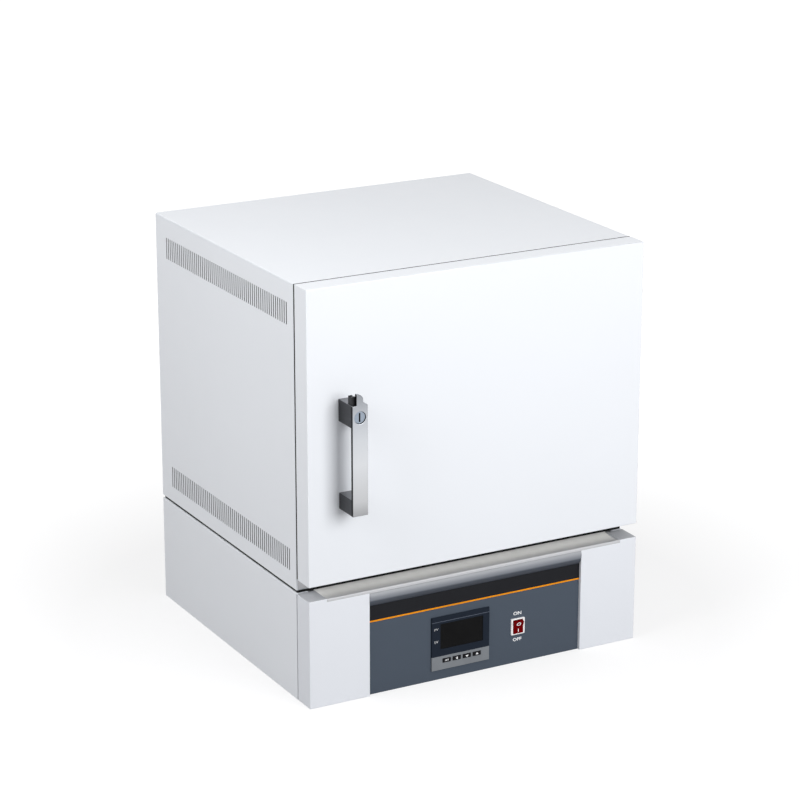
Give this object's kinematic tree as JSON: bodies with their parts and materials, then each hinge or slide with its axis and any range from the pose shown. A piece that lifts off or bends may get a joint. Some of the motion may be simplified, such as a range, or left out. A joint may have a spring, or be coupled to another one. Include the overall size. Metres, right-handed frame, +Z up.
{
  "type": "muffle furnace",
  "caption": "Bench-top box furnace with a side-hinged insulated door and upright pull handle, on a base with a recessed control panel, temperature controller and rocker switch.",
  "frame": {"origin": "middle of the underside of the base, on the surface the furnace stands on", "axes": "+X to the right seen from the front, +Y from the door to the rear, +Z up"},
  "size_m": [0.5097, 0.51, 0.564],
  "materials": {
    "white_coat": "fine-textured satin powder coat",
    "grey_coat": "matte slate enamel",
    "visor_coat": "satin blue-grey paint",
    "trough_steel": "satin rolled steel",
    "plate_steel": "brushed, slightly heat tinted",
    "zinc_steel": "zinc plated",
    "handle_steel": "satin",
    "black_film": "printed film",
    "orange_film": "printed film",
    "navy_plastic": "fine moulded texture",
    "display_glass": "polished window",
    "grey_plastic": "fine moulded texture",
    "key_black": "satin",
    "switch_white": "polished",
    "rocker_red": "polished",
    "black_plastic": "satin",
    "foot_rubber": "matte",
    "refractory": "rough fired alumina",
    "fibre_board": "pressed ceramic fibre",
    "element_alloy": "oxidised resistance alloy",
    "sink_aluminium": "extruded",
    "relay_plastic": "moulded"
  },
  "bodies": {
    "cabinet": {"cabinet_side_left": "white_coat", "cabinet_side_right": "white_coat", "cabinet_top": "white_coat", "cabinet_floor": "zinc_steel", "cabinet_rear_cover": "white_coat", "rear_screws": "zinc_steel", "front_frame": "plate_steel", "latch_keeper": "zinc_steel", "cabinet_spacers": "foot_rubber", "muffle": "refractory", "heating_elements": "element_alloy", "hearth_plate": "refractory", "insulation_sides": "fibre_board", "insulation_top": "fibre_board", "insulation_bottom": "fibre_board", "insulation_rear": "fibre_board", "insulation_rails": "zinc_steel", "thermocouple": "refractory", "hinge_leaves_cabinet": "handle_steel", "hinge_pins": "handle_steel", "base_side_left": "white_coat", "base_side_right": "white_coat", "front_pillar_left": "white_coat", "front_pillar_right": "white_coat", "base_deck": "zinc_steel", "base_pan": "zinc_steel", "base_rear_panel": "white_coat", "base_trough": "trough_steel", "panel_visor": "visor_coat", "control_panel": "grey_coat", "panel_stripe": "orange_film", "panel_band": "black_film", "controller_bezel": "navy_plastic", "controller_screen": "display_glass", "controller_key_strip": "grey_plastic", "controller_housing": "black_plastic", "switch_body": "switch_white", "relay_heat_sink": "sink_aluminium", "solid_state_relay": "relay_plastic", "terminal_block": "black_plastic", "cable_gland": "black_plastic", "gland_nut": "black_plastic"},
    "door": {"door_skin": "white_coat", "door_insulation": "fibre_board", "door_liner": "plate_steel", "door_plug": "fibre_board", "door_gasket": "fibre_board", "hinge_leaves_door": "handle_steel", "handle_plate": "handle_steel", "handle_foot_upper": "handle_steel", "handle_foot_lower": "handle_steel"},
    "latch": {"latch_button": "black_plastic"},
    "lock": {"lock_cylinder": "handle_steel"},
    "rocker": {"switch_rocker": "rocker_red"},
    "set_key": {"key_set": "key_black"},
    "left_key": {"key_left": "key_black"},
    "down_key": {"key_down": "key_black"},
    "up_key": {"key_up": "key_black"}
  },
  "joints": [
    {"name": "door_hinge", "type": "hinge", "parent": "cabinet", "child": "door", "pos_m": [0.2555, -0.194, 0.365], "axis": [0, 0, 1], "range_deg": [0, 120]},
    {"name": "latch_press", "type": "slide", "parent": "door", "child": "latch", "axis": [0, 0, -1], "range_m": [0, 0.005], "stiffness_N_per_m": 700, "springref_m": -0.003},
    {"name": "lock_turn", "type": "hinge", "parent": "door", "child": "lock", "pos_m": [-0.1949, -0.2645, 0.4005], "axis": [0, 1, 0], "range_deg": [0, 90]},
    {"name": "rocker_tilt", "type": "hinge", "parent": "cabinet", "child": "rocker", "pos_m": [0.0654, -0.22, 0.0528], "axis": [-1, 0, 0], "range_deg": [0, 16]},
    {"name": "set_key_press", "type": "slide", "parent": "cabinet", "child": "set_key", "axis": [0, 1, 0], "range_m": [0, 0.0008], "stiffness_N_per_m": 400, "springref_m": -0.0006},
    {"name": "left_key_press", "type": "slide", "parent": "cabinet", "child": "left_key", "axis": [0, 1, 0], "range_m": [0, 0.0008], "stiffness_N_per_m": 400, "springref_m": -0.0006},
    {"name": "down_key_press", "type": "slide", "parent": "cabinet", "child": "down_key", "axis": [0, 1, 0], "range_m": [0, 0.0008], "stiffness_N_per_m": 400, "springref_m": -0.0006},
    {"name": "up_key_press", "type": "slide", "parent": "cabinet", "child": "up_key", "axis": [0, 1, 0], "range_m": [0, 0.0008], "stiffness_N_per_m": 400, "springref_m": -0.0006}
  ]
}
